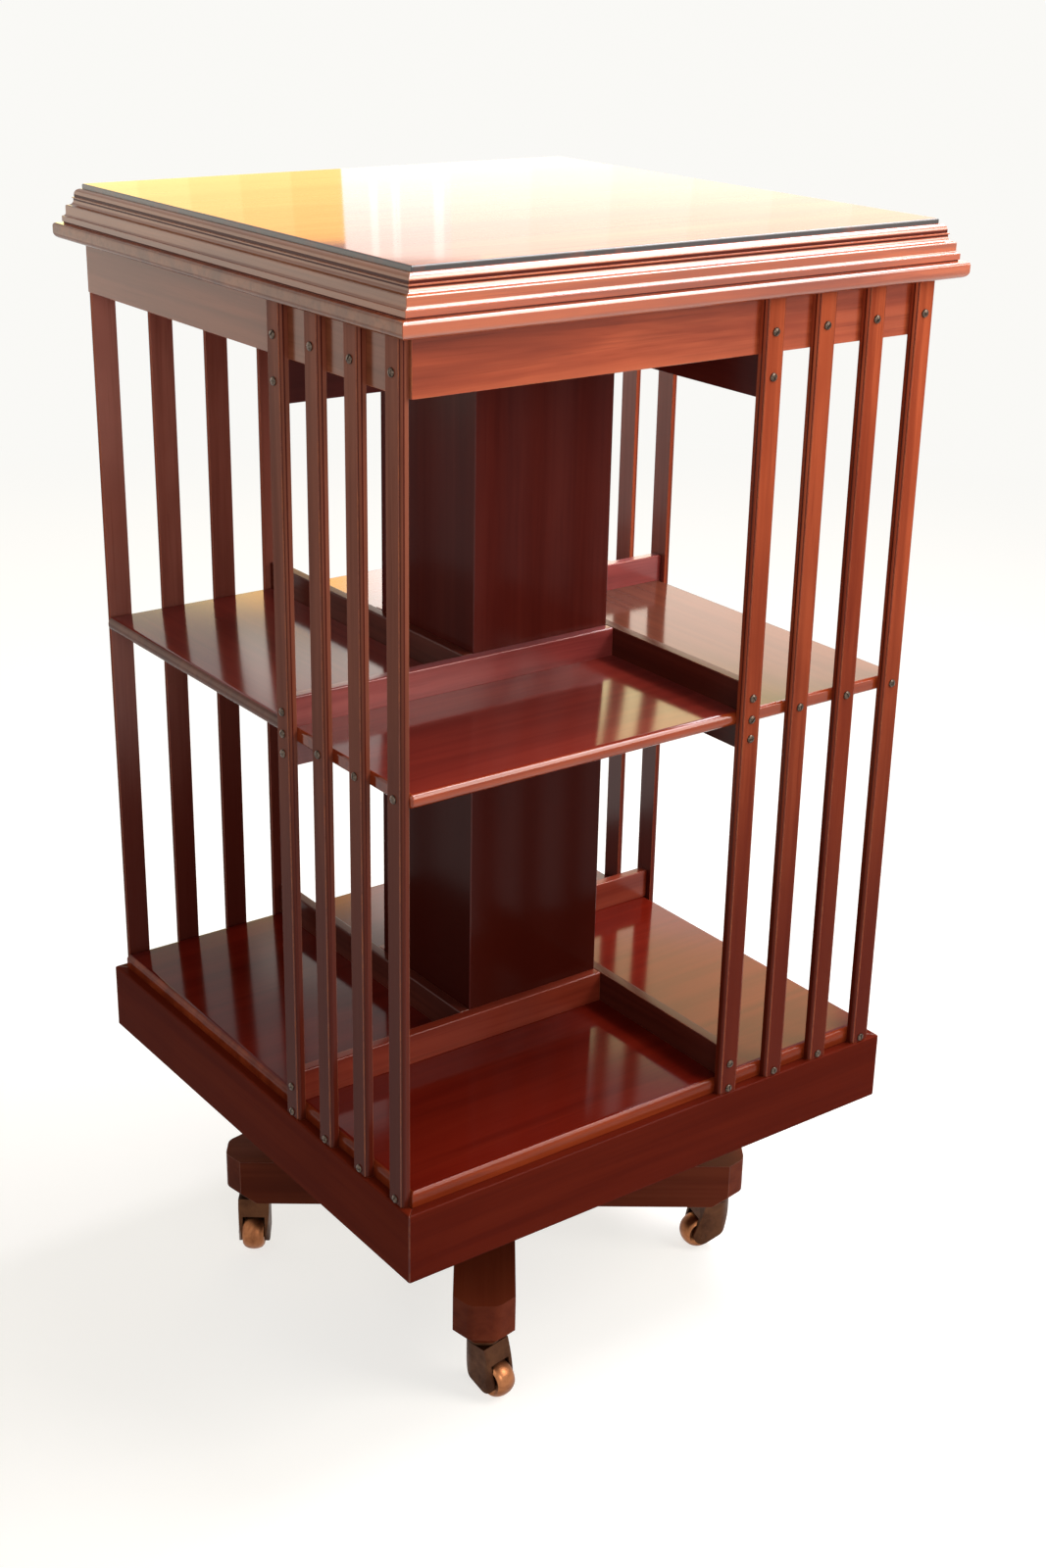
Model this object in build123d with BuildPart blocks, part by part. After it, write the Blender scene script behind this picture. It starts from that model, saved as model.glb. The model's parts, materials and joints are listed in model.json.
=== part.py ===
"""Revolving bookcase: a slatted mahogany case that turns on a spindle above four legs on castors.

The origin is on the floor, on the spindle's axis, with +Z up. The front face looks along -Y.
Each face has an open book bay on its left and four slats on its right, and the four faces follow
each other round the spindle a quarter turn apart.
"""

import os

from build123d import *

# Heights, from the floor up
castor_height = 52.0
leg_height = 43.0
plinth_clearance = 94.0
plinth_height = 59.0
bottom_board_thickness = 13.0
lower_bay_height = 305.0
shelf_thickness = 11.0
upper_bay_height = 270.0
frieze_height = 41.0
nosing_thickness = 12.0
top_step = 3.8

# Half widths, from the spindle's axis to a face, and how far the boards stand past the case
case_half = 232.0
column_half = 65.5
plinth_ledge = 8.0
nosing_overhang = 18.5
nosing_margin = 5.8

# Edge moulding round the top, from its upper lip down
lip_width = 0.5
roll_round = 4.4
neck_drop = 2.2
fillet_width = 1.2
fillet_drop = 0.9
fillet_undercut = 0.7
cove_drop = 1.4
cove_round = 3.8
shoulder_round = 1.0
band_drop = 5.0
flare_round = 2.4
foot_drop = 4.2
foot_quirk_width = 0.8
foot_quirk_drop = 1.2

# Boards
frieze_thickness = 16.0
plinth_thickness = 18.0
column_wall = 12.0
divider_thickness = 9.5
lip_rise = 23.0
bottom_lip_rise = 27.0
divider_drop = 20.0
top_divider_drop = 32.0
top_edge_round = 1.3
nosing_top_round = 2.6
nosing_bottom_round = 5.0
plinth_edge_round = 1.6
lip_edge_round = 1.4
bottom_board_round = 5.0
shelf_end_ease = 1.6
nose_share = 0.46

# Slats and their round-headed screws
slat_width = 20.0
slat_thickness = 6.5
slat_inset = 3.0
slat_count = 4
bead_round = 2.6
bead_quirk = 0.7
screw_head_radius = 3.2
screw_head_height = 1.9
screw_head_ease = 1.1
screw_head_sides = 8
frieze_screw_rise = 16.0

# Legs, half-lapped into a cross
leg_reach = 233.0
leg_width = 51.0
leg_cant = 14.0
leg_end_round = 12.0
leg_bevel = 10.0
base_angle = 54.5

# Pillar, spindle and bearings
spindle_radius = 12.0
fit_clearance = 0.05
thrust_gap = 0.3
pillar_foot_radius = 56.0
pillar_foot_height = 14.0
pillar_neck_radius = 42.0
flange_radius = 48.0
flange_thickness = 6.0
bearing_plate_half = 55.0
bearing_plate_thickness = 6.0
cup_radius = 32.0
cup_height = 26.0
cup_roof = 6.0

# Castors, and the compass direction in which each wheel trails
castor_setback = 24.0
castor_plate_radius = 14.0
castor_plate_thickness = 3.0
castor_stem_radius = 4.0
castor_stem_length = 26.0
castor_trail = 15.0
castor_neck_height = 7.0
wheel_radius = 16.0
wheel_width = 19.0
wheel_edge_drop = 4.0
wheel_tread_width = 8.0
wheel_clearance = 1.4
wheel_side_gap = 0.4
axle_radius = 2.6
horn_width = 28.0
horn_eye_radius = 8.5
horn_heel_radius = 10.0
horn_heel_rise = 23.0
horn_heel_offset = 3.0
castor_angles = {"near": -80.0, "right": 165.0, "back": 100.0, "left": -126.0}

overrun = 1.0

# Levels that follow from the heights
leg_top = castor_height + leg_height
plinth_bottom = leg_top + plinth_clearance
plinth_top = plinth_bottom + plinth_height
bottom_board_top = plinth_top + bottom_board_thickness
shelf_bottom = bottom_board_top + lower_bay_height
shelf_top = shelf_bottom + shelf_thickness
frieze_bottom = shelf_top + upper_bay_height
frieze_top = frieze_bottom + frieze_height
nosing_top = frieze_top + nosing_thickness
moulding_foot = foot_quirk_drop + foot_drop + flare_round + band_drop + shoulder_round
moulding_head = cove_round + cove_drop + fillet_drop + neck_drop + roll_round
moulding_top = nosing_top + moulding_foot + moulding_head
top_surface = moulding_top + top_step

# Places that follow from the half widths
plinth_half = case_half + plinth_ledge
nosing_half = case_half + nosing_overhang
fillet_reach = roll_round + fillet_width - fillet_undercut
moulding_width = lip_width + fillet_reach + cove_round + shoulder_round + flare_round
top_half = nosing_half - nosing_margin - moulding_width
castor_reach = leg_reach - castor_setback
divider_face = column_half + divider_thickness
slat_face = case_half + slat_thickness
first_slat_centre = column_half + divider_thickness / 2
last_slat_centre = case_half - slat_inset - slat_width / 2
slat_pitch = (last_slat_centre - first_slat_centre) / (slat_count - 1)
slat_centres = [first_slat_centre + slat_pitch * step for step in range(slat_count)]
plate_top = plinth_top - bearing_plate_thickness
flange_top = plate_top - thrust_gap
pillar_top = flange_top - flange_thickness
spindle_bore = spindle_radius + fit_clearance
spindle_top = frieze_top - cup_roof - thrust_gap
stem_bore = castor_stem_radius + fit_clearance

face_turns = {"front": 0, "right": 90, "back": 180, "left": 270}
leg_turns = {
    "near": base_angle + 180,
    "right": base_angle + 270,
    "back": base_angle,
    "left": base_angle + 90,
}


def level_plane(turn, height):
    """Horizontal plane whose X axis runs along the face, or leg, at this turn."""
    along = Vector(1, 0, 0).rotate(Axis.Z, turn)
    return Plane(origin=(0, 0, height), x_dir=along, z_dir=(0, 0, 1))


def face_plane(turn, depth):
    """Upright plane parallel to a face, depth away from the spindle, with X along the face and Y up."""
    along = Vector(1, 0, 0).rotate(Axis.Z, turn)
    outward = Vector(0, -1, 0).rotate(Axis.Z, turn)
    return Plane(origin=outward * depth, x_dir=along, z_dir=outward)


def section_plane(turn, height):
    """Upright plane across a face, with X pointing out of the face and Y up."""
    outward = Vector(0, -1, 0).rotate(Axis.Z, turn)
    along = Vector(-1, 0, 0).rotate(Axis.Z, turn)
    return Plane(origin=(0, 0, height), x_dir=outward, z_dir=along)


def outermost(edges, turn):
    """The edge of a list that lies furthest out at this face."""
    outward = Vector(0, -1, 0).rotate(Axis.Z, turn)
    return edges.sort_by(lambda edge: edge.center().dot(outward))[-1]


def save(part, name):
    """Label a finished piece and write it as its own file."""
    part.label = name
    export_step(part, os.path.join("parts", name + ".step"))


def mitred_board(turn, half, thickness, bottom, top):
    """One side of a square frame of boards, mitred at both ends."""
    inner = half - thickness
    with BuildPart() as board:
        with BuildSketch(level_plane(turn, bottom)):
            with BuildLine():
                Polyline((-half, -half), (half, -half), (inner, -inner), (-inner, -inner), close=True)
            make_face()
        extrude(amount=top - bottom)
    return board


def top_panel():
    """Flat polished panel that stands a step proud of the moulding round it."""
    with BuildPart() as panel:
        with BuildSketch(Plane.XY.offset(nosing_top)):
            Rectangle(2 * top_half, 2 * top_half)
        extrude(amount=top_surface - nosing_top)
        fillet(panel.edges().group_by(Axis.Z)[-1], top_edge_round)
    save(panel.part, "top_panel")


def edge_moulding(face, turn):
    """Moulded strip on one edge of the top, mitred at both ends: roll, fillet, cove, band and flare."""
    roll_in = top_half + lip_width
    roll_out = roll_in + roll_round
    fillet_out = roll_out + fillet_width
    cove_in = fillet_out - fillet_undercut
    cove_out = cove_in + cove_round
    band_out = cove_out + shoulder_round
    foot_out = band_out + flare_round
    quirk_in = foot_out - foot_quirk_width
    foot_top = foot_quirk_drop + foot_drop
    flare_top = foot_top + flare_round
    band_top = flare_top + band_drop
    cove_bottom = band_top + shoulder_round
    cove_top = cove_bottom + cove_round
    fillet_bottom = cove_top + cove_drop
    fillet_top = fillet_bottom + fillet_drop
    roll_bottom = fillet_top + neck_drop
    roll_top = roll_bottom + roll_round
    with BuildPart() as moulding:
        with BuildSketch(section_plane(turn, nosing_top)):
            with BuildLine():
                roll = CenterArc((roll_in, roll_bottom), roll_round, 0, 90)
                cove = CenterArc((cove_out, cove_top), cove_round, 270, -90)
                shoulder = CenterArc((cove_out, band_top), shoulder_round, 0, 90)
                flare = CenterArc((foot_out, flare_top), flare_round, 270, -90)
                Polyline(
                    roll @ 0,
                    (roll_out, fillet_top),
                    (fillet_out, fillet_top),
                    (fillet_out, fillet_bottom),
                    (cove_in, fillet_bottom),
                    cove @ 1,
                )
                Line(shoulder @ 0, flare @ 1)
                Polyline(
                    flare @ 0,
                    (foot_out, foot_quirk_drop),
                    (quirk_in, foot_quirk_drop),
                    (quirk_in, 0),
                    (top_half, 0),
                    (top_half, roll_top),
                    roll @ 1,
                )
            make_face()
        extrude(amount=foot_out + overrun, both=True)
        for side in (1, -1):
            mitre = Vector(side, 1, 0).rotate(Axis.Z, turn)
            split(bisect_by=Plane(origin=(0, 0, 0), z_dir=mitre), keep=Keep.BOTTOM)
    save(moulding.part, "edge_moulding_" + face)


def nosing_board():
    """Thin board under the moulding, with a rounded nose all round."""
    with BuildPart() as nosing:
        with BuildSketch(Plane.XY.offset(frieze_top)):
            Rectangle(2 * nosing_half, 2 * nosing_half)
        extrude(amount=nosing_thickness)
        fillet(nosing.edges().group_by(Axis.Z)[-1], nosing_top_round)
        fillet(nosing.edges().group_by(Axis.Z)[0], nosing_bottom_round)
    save(nosing.part, "nosing_board")


def frieze_rail(face, turn):
    """Rail under the nosing that carries the tops of the slats."""
    rail = mitred_board(turn, case_half, frieze_thickness, frieze_bottom, frieze_top)
    save(rail.part, "frieze_rail_" + face)


def plinth_board(face, turn):
    """One side of the plinth, whose top edge is the ledge that the slats stand on."""
    board = mitred_board(turn, plinth_half, plinth_thickness, plinth_bottom, plinth_top)
    with board:
        for level in (0, -1):
            fillet(outermost(board.edges().group_by(Axis.Z)[level], turn), plinth_edge_round)
    save(board.part, "plinth_board_" + face)


def column_board(face, turn):
    """One side of the hollow square column round the spindle."""
    board = mitred_board(turn, column_half, column_wall, bottom_board_top, frieze_top)
    save(board.part, "column_board_" + face)


def top_divider(face, turn):
    """Back board at the top of a bay, notched where it passes under the next face's frieze."""
    notch = case_half - frieze_thickness
    low = frieze_bottom - top_divider_drop
    with BuildPart() as divider:
        with BuildSketch(face_plane(turn, column_half)):
            with BuildLine():
                Polyline(
                    (-case_half, low),
                    (column_half, low),
                    (column_half, frieze_top),
                    (-notch, frieze_top),
                    (-notch, frieze_bottom),
                    (-case_half, frieze_bottom),
                    close=True,
                )
            make_face()
        extrude(amount=divider_thickness)
    save(divider.part, "top_divider_" + face)


def back_lip(turn, bottom, top):
    """Low board along the back of a bay, from the next face to the next lip, with its top eased."""
    with BuildPart() as lip:
        with BuildSketch(face_plane(turn, column_half)):
            with BuildLine():
                Polyline(
                    (-case_half, bottom),
                    (column_half, bottom),
                    (column_half, top),
                    (-case_half, top),
                    close=True,
                )
            make_face()
        extrude(amount=divider_thickness)
        fillet(outermost(lip.edges().group_by(Axis.Z)[-1], turn), lip_edge_round)
    return lip


def middle_divider(face, turn):
    """Board that the shelves butt against: a lip above the shelf and a batten below it."""
    lip = back_lip(turn, shelf_bottom - divider_drop, shelf_top + lip_rise)
    save(lip.part, "middle_divider_" + face)


def bottom_lip(face, turn):
    """Lip along the back of a lower bay, standing on the bottom board."""
    lip = back_lip(turn, bottom_board_top, bottom_board_top + bottom_lip_rise)
    save(lip.part, "bottom_lip_" + face)


def shelf_board(face, turn):
    """Shelf of one bay, with a bullnose on its open edge and an eased end behind the next slats."""
    along = Vector(1, 0, 0).rotate(Axis.Z, turn)
    with BuildPart() as shelf:
        with BuildSketch(level_plane(turn, shelf_bottom)):
            with BuildLine():
                Polyline(
                    (-case_half, -case_half),
                    (column_half, -case_half),
                    (column_half, -divider_face),
                    (-case_half, -divider_face),
                    close=True,
                )
            make_face()
        extrude(amount=shelf_thickness)
        levels = shelf.edges().group_by(Axis.Z)
        fillet([outermost(levels[0], turn), outermost(levels[-1], turn)], shelf_thickness * nose_share)
        end = shelf.faces().sort_by(lambda side: side.center().dot(along))[0]
        chamfer(end.edges().sort_by(Axis.Z)[-1], shelf_end_ease)
    save(shelf.part, "shelf_board_" + face)


def bottom_board():
    """Floor of the lower bays, with a rounded edge and a hole that the spindle passes through."""
    with BuildPart() as board:
        with BuildSketch(Plane.XY.offset(plinth_top)):
            Rectangle(2 * case_half, 2 * case_half)
            Circle(spindle_bore, mode=Mode.SUBTRACT)
        extrude(amount=bottom_board_thickness)
        rim = board.edges().filter_by(GeomType.LINE).group_by(Axis.Z)[-1]
        fillet(rim, bottom_board_round)
    save(board.part, "bottom_board")


def slats(face, turn):
    """Four upright slats of one face, each with a quirked quarter-round bead on both front edges."""
    shoulder = -slat_face + bead_quirk + bead_round
    with BuildPart() as group:
        with BuildSketch(level_plane(turn, plinth_top)):
            for centre in slat_centres:
                left = centre - slat_width / 2
                right = centre + slat_width / 2
                with BuildLine():
                    Line((left, -case_half), (left, shoulder))
                    left_bead = CenterArc((left + bead_round, shoulder), bead_round, 180, 90)
                    right_bead = CenterArc((right - bead_round, shoulder), bead_round, 270, 90)
                    Polyline(
                        left_bead @ 1,
                        (left + bead_round, -slat_face),
                        (right - bead_round, -slat_face),
                        right_bead @ 0,
                    )
                    Polyline((right, shoulder), (right, -case_half), (left, -case_half))
                make_face()
        extrude(amount=frieze_top - plinth_top)
    save(group.part, "slats_" + face)


def screw_places():
    """Screws of one face: the first slat is also screwed to the ends of the dividers and the lip."""
    frieze_row = frieze_bottom + frieze_screw_rise
    shelf_row = (shelf_bottom + shelf_top) / 2
    board_row = plinth_top + (bottom_board_thickness - bottom_board_round) / 2
    places = []
    for centre in slat_centres:
        places += [(centre, frieze_row), (centre, shelf_row), (centre, board_row)]
    first = slat_centres[0]
    places.append((first, frieze_bottom - top_divider_drop / 2))
    places.append((first, shelf_top + lip_rise / 2))
    places.append((first, shelf_bottom - divider_drop / 2))
    places.append((first, bottom_board_top + bottom_lip_rise / 2))
    return places


def slat_screws():
    """Heads of all the slat screws, seated on the slats, with eased rims."""
    with BuildPart() as screws:
        for turn in face_turns.values():
            with BuildSketch(face_plane(turn, slat_face)):
                with Locations(*screw_places()):
                    RegularPolygon(screw_head_radius, screw_head_sides)
            extrude(amount=screw_head_height)
            outward = Vector(0, -1, 0).rotate(Axis.Z, turn)
            crowns = screws.edges().group_by(lambda edge: edge.center().dot(outward))[-1]
            chamfer(crowns, screw_head_ease)
    save(screws.part, "slat_screws")


def leg(name, turn, lapped_above):
    """Leg bar with rounded, canted ends bevelled underneath, halved at the middle into the other leg."""
    flat = leg_width / 2 - leg_cant
    shoulder = leg_reach - leg_cant
    midway = leg_reach - leg_cant / 2
    corner = [(leg_reach, flat), (shoulder, leg_width / 2)]
    outline = corner + [(-x, y) for x, y in reversed(corner)]
    outline += [(x, -y) for x, y in reversed(outline)]
    along = Vector(1, 0, 0).rotate(Axis.Z, turn)
    underside = level_plane(turn, castor_height)
    with BuildPart() as bar:
        with BuildSketch(underside):
            with BuildLine():
                Polyline(*outline, close=True)
            make_face()
        extrude(amount=leg_height)
        upright = bar.edges().filter_by(Axis.Z)
        fillet(upright.filter_by(lambda edge: abs(edge.center().dot(along)) > midway), leg_end_round)
        rim = bar.edges().group_by(Axis.Z)[0]
        chamfer(rim.filter_by(lambda edge: abs(edge.center().dot(along)) > shoulder), leg_bevel)
        lap = underside.offset(leg_height / 2)
        with BuildSketch(lap):
            Rectangle(leg_width, leg_width)
        extrude(amount=leg_height if lapped_above else -leg_height, mode=Mode.SUBTRACT)
        with BuildSketch(underside):
            with Locations((castor_reach, 0), (-castor_reach, 0)):
                Circle(stem_bore)
        extrude(amount=castor_stem_length + thrust_gap, mode=Mode.SUBTRACT)
    save(bar.part, name)


def pillar():
    """Turned pillar on the cross of legs, with a foot, a splayed shoulder and a plain neck."""
    shoulder = pillar_foot_radius - pillar_neck_radius
    with BuildPart() as post:
        with BuildSketch(Plane.XZ):
            with BuildLine():
                Polyline(
                    (pillar_neck_radius, leg_top + pillar_foot_height + shoulder),
                    (pillar_neck_radius, pillar_top),
                    (spindle_bore, pillar_top),
                    (spindle_bore, leg_top),
                    (pillar_foot_radius, leg_top),
                    (pillar_foot_radius, leg_top + pillar_foot_height),
                    close=True,
                )
            make_face()
        revolve(axis=Axis.Z)
    save(post.part, "pillar")


def ring(name, radius, bore, bottom, height):
    """Plain ring round the spindle."""
    with BuildPart() as collar:
        with BuildSketch(Plane.XY.offset(bottom)):
            Circle(radius)
            Circle(bore, mode=Mode.SUBTRACT)
        extrude(amount=height)
    save(collar.part, name)


def bearing_plate():
    """Square iron plate under the bottom board, which rides on the flange and runs round the spindle."""
    with BuildPart() as plate:
        with BuildSketch(Plane.XY.offset(plate_top)):
            Rectangle(2 * bearing_plate_half, 2 * bearing_plate_half)
            Circle(spindle_bore, mode=Mode.SUBTRACT)
        extrude(amount=bearing_plate_thickness)
    save(plate.part, "lower_bearing_plate")


def bearing_cup():
    """Iron cup under the nosing board, closed at the top, in which the end of the spindle turns."""
    with BuildPart() as cup:
        with BuildSketch(Plane.XY.offset(frieze_top)):
            Circle(cup_radius)
        extrude(amount=-cup_height)
        with BuildSketch(Plane.XY.offset(frieze_top - cup_roof)):
            Circle(spindle_bore)
        extrude(amount=-cup_height, mode=Mode.SUBTRACT)
    save(cup.part, "upper_bearing_cup")


def spindle():
    """Steel spindle, from the cross of legs up through the column to the cup."""
    with BuildPart() as shaft:
        with BuildSketch(Plane.XY.offset(leg_top)):
            Circle(spindle_radius)
        extrude(amount=spindle_top - leg_top)
    save(shaft.part, "spindle")


def castor_plates():
    """Round plates under the leg ends, one above each castor."""
    with BuildPart() as plates:
        with BuildSketch(level_plane(base_angle, castor_height)):
            with PolarLocations(castor_reach, len(leg_turns)):
                Circle(castor_plate_radius)
                Circle(stem_bore, mode=Mode.SUBTRACT)
        extrude(amount=-castor_plate_thickness)
    save(plates.part, "castor_plates")


def castor(place):
    """One castor: a forked horn on a stem, curved round the wheel, an axle and a barrel-shaped wheel."""
    swivel = Vector(castor_reach, 0, 0).rotate(Axis.Z, leg_turns[place])
    trail = Vector(1, 0, 0).rotate(Axis.Z, castor_angles[place])
    across = Vector(0, 1, 0).rotate(Axis.Z, castor_angles[place])
    hub = swivel + trail * castor_trail + Vector(0, 0, wheel_radius)
    axle_line = Axis(origin=hub, direction=across)
    plan = Plane(origin=swivel, x_dir=trail, z_dir=(0, 0, 1))
    side = Plane(origin=swivel, x_dir=trail, z_dir=-across)
    horn_top = castor_height - castor_plate_thickness - thrust_gap
    slot_width = wheel_width + 2 * wheel_side_gap

    with BuildPart() as horn:
        with BuildSketch(side):
            with Locations((castor_trail, wheel_radius)):
                Circle(horn_eye_radius)
            with Locations((horn_heel_offset, horn_heel_rise)):
                Circle(horn_heel_radius)
            with Locations((0, horn_top - castor_neck_height / 2)):
                Rectangle(2 * castor_plate_radius, castor_neck_height)
            make_hull()
        extrude(amount=horn_width / 2, both=True)
        with BuildSketch(plan):
            Circle(castor_plate_radius)
            with Locations((castor_trail, 0)):
                Circle(castor_plate_radius)
            make_hull()
        extrude(amount=horn_top, mode=Mode.INTERSECT)
        with BuildSketch(Plane(origin=hub, x_dir=trail, z_dir=across)):
            Circle(wheel_radius + wheel_clearance)
        extrude(amount=slot_width / 2, both=True, mode=Mode.SUBTRACT)
        with BuildSketch(Plane(origin=hub, x_dir=trail, z_dir=across)):
            Circle(axle_radius + fit_clearance)
        extrude(amount=horn_width, both=True, mode=Mode.SUBTRACT)
        with BuildSketch(plan.offset(horn_top)):
            Circle(castor_stem_radius)
        extrude(amount=castor_plate_thickness + castor_stem_length)
    save(horn.part, "castor_horn_" + place)

    with BuildPart() as axle:
        with BuildSketch(Plane(origin=hub, x_dir=trail, z_dir=across)):
            Circle(axle_radius)
        extrude(amount=horn_width / 2, both=True)
    save(axle.part, "castor_axle_" + place)

    half_width = wheel_width / 2
    half_tread = wheel_tread_width / 2
    edge_radius = wheel_radius - wheel_edge_drop
    bore = axle_radius + fit_clearance
    with BuildPart() as wheel:
        with BuildSketch(Plane(origin=hub, x_dir=(0, 0, 1), z_dir=trail)):
            with BuildLine():
                Polyline(
                    (bore, -half_width),
                    (edge_radius, -half_width),
                    (wheel_radius, -half_tread),
                    (wheel_radius, half_tread),
                    (edge_radius, half_width),
                    (bore, half_width),
                    close=True,
                )
            make_face()
        revolve(axis=axle_line)
    save(wheel.part, "castor_wheel_" + place)


os.makedirs("parts", exist_ok=True)
top_panel()
nosing_board()
bottom_board()
for face_name, face_turn in face_turns.items():
    edge_moulding(face_name, face_turn)
    frieze_rail(face_name, face_turn)
    top_divider(face_name, face_turn)
    middle_divider(face_name, face_turn)
    bottom_lip(face_name, face_turn)
    shelf_board(face_name, face_turn)
    slats(face_name, face_turn)
    column_board(face_name, face_turn)
    plinth_board(face_name, face_turn)
slat_screws()
bearing_cup()
bearing_plate()
leg("leg_lower", leg_turns["back"], True)
leg("leg_upper", leg_turns["left"], False)
pillar()
ring("spindle_flange", flange_radius, spindle_bore, pillar_top, flange_thickness)
spindle()
castor_plates()
for place_name in leg_turns:
    castor(place_name)
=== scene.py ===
"""Looks of the revolving bookcase.

Polished mahogany with arrises that are partly worn and partly a painted highlight, painted shade in the
quirks, at the foot and on the shaded side, a painted sheen on some lips and slats, slotted screws and old
brass castors, in soft studio light.
"""

import json
import math
import random
from functools import cache

import bmesh
import bpy
from mathutils import Matrix, Vector


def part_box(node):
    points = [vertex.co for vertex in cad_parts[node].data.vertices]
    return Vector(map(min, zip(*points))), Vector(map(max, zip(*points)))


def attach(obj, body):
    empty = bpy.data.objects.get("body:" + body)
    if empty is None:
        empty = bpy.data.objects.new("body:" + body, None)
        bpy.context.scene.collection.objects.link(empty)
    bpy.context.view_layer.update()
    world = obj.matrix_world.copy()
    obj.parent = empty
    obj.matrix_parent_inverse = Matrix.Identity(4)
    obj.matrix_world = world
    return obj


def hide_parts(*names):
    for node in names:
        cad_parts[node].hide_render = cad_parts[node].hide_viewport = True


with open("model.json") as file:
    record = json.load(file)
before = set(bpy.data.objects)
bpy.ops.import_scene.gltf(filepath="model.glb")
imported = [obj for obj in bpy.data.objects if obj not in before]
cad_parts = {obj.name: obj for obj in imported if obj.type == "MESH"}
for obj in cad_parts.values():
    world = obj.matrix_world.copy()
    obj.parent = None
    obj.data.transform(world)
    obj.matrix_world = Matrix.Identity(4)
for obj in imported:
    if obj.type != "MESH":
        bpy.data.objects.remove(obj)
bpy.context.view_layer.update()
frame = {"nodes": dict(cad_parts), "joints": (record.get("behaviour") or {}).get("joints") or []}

millimetre = 0.001
quarter_turn = math.radians(90)

# The photograph's frame in pixels, and the camera that took it in degrees and metres
photo_width = 1067
photo_height = 1600
focal_pixels = 2156.655
principal_x = 544.623
principal_y = 786.307
sensor_width = 36.0
camera_place = Vector((-0.957527, -1.334566, 1.133177))
camera_azimuth = math.radians(-36.915)
camera_elevation = math.radians(22.118)
camera_roll = math.radians(1.279)

# The case's faces with the way that each one looks, and the castors' places
outward = {
    "front": Vector((0, -1, 0)),
    "right": Vector((1, 0, 0)),
    "back": Vector((0, 1, 0)),
    "left": Vector((-1, 0, 0)),
}
castor_places = ("near", "right", "back", "left")

# Turns that bring X along the grain: boards along X and Y, upright pieces, and the two legs
base_turn = math.radians(54.5)
grains = {
    "x": (0, 0, 0),
    "y": (0, 0, -quarter_turn),
    "z": (0, quarter_turn, 0),
    "pillar": (0, quarter_turn, 0),
    "lower": (0, 0, -base_turn),
    "upper": (0, 0, -base_turn - quarter_turn),
}
grain_of_face = {"front": "x", "right": "y", "back": "x", "left": "y"}


class Graph:
    """The node tree of one material, with short calls for the nodes that the finishes use."""

    def __init__(self, name):
        self.material = bpy.data.materials.new(name)
        self.material.use_nodes = True
        self.tree = self.material.node_tree
        self.shader = self.tree.nodes["Principled BSDF"]

    def node(self, kind, inputs=None, **settings):
        """A new node: settings are its own properties, and inputs are socket values or links."""
        made = self.tree.nodes.new(kind)
        for key, value in settings.items():
            setattr(made, key, value)
        for key, value in (inputs or {}).items():
            self.feed(made.inputs[key], value)
        return made

    def feed(self, socket, value):
        """Links a socket to an output, or sets its value."""
        if isinstance(value, bpy.types.NodeSocket):
            self.tree.links.new(value, socket)
        else:
            socket.default_value = value

    def coordinates(self):
        """Object coordinates, in metres."""
        return self.node("ShaderNodeTexCoord").outputs["Object"]

    def noise(self, vector, scale, detail=3.0, roughness=0.55, distortion=0.0):
        """Grey noise."""
        inputs = {
            "Vector": vector,
            "Scale": scale,
            "Detail": detail,
            "Roughness": roughness,
            "Distortion": distortion,
        }
        return self.node("ShaderNodeTexNoise", inputs).outputs["Fac"]

    def figure(self, rotation, stretch, detail, roughness, distortion):
        """Grey noise turned to the grain and drawn out along it."""
        aligned = self.node("ShaderNodeMapping", {"Vector": self.coordinates(), "Rotation": rotation})
        drawn = self.node("ShaderNodeMapping", {"Vector": aligned.outputs["Vector"], "Scale": stretch})
        return self.noise(drawn.outputs["Vector"], 1.0, detail, roughness, distortion)

    def remap(self, value, low, high, to_low=0.0, to_high=1.0, smooth=False):
        """A value's range from low to high spread over another range, and held at its ends."""
        inputs = {"Value": value, "From Min": low, "From Max": high, "To Min": to_low, "To Max": to_high}
        curve = "SMOOTHSTEP" if smooth else "LINEAR"
        made = self.node("ShaderNodeMapRange", inputs, clamp=True, interpolation_type=curve)
        return made.outputs["Result"]

    def math(self, operation, first, second):
        """Arithmetic on two values."""
        made = self.node("ShaderNodeMath", operation=operation)
        self.feed(made.inputs[0], first)
        self.feed(made.inputs[1], second)
        return made.outputs["Value"]

    def blend(self, factor, first, second):
        """One colour, changed to another as the factor goes from 0 to 1."""
        made = self.node("ShaderNodeMix", data_type="RGBA")
        self.feed(made.inputs["Factor"], factor)
        self.feed(made.inputs["A"], first)
        self.feed(made.inputs["B"], second)
        return made.outputs["Result"]

    def bump(self, height, strength, distance):
        """Surface relief, linked to the shader's normal."""
        inputs = {"Height": height, "Strength": strength, "Distance": distance}
        made = self.node("ShaderNodeBump", inputs)
        self.feed(self.shader.inputs["Normal"], made.outputs["Normal"])
        return made.outputs["Normal"]

    def set(self, **values):
        """Values of the shader's own sockets, by their names with underscores."""
        for key, value in values.items():
            self.feed(self.shader.inputs[key.replace("_", " ")], value)

    def coat(self, weight, index, roughness):
        """Clear polish over the shader."""
        self.set(Coat_Weight=weight, Coat_IOR=index, Coat_Roughness=roughness)


def rgb(red, green, blue):
    """Colour of a socket, in linear light."""
    return (red, green, blue, 1.0)
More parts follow.
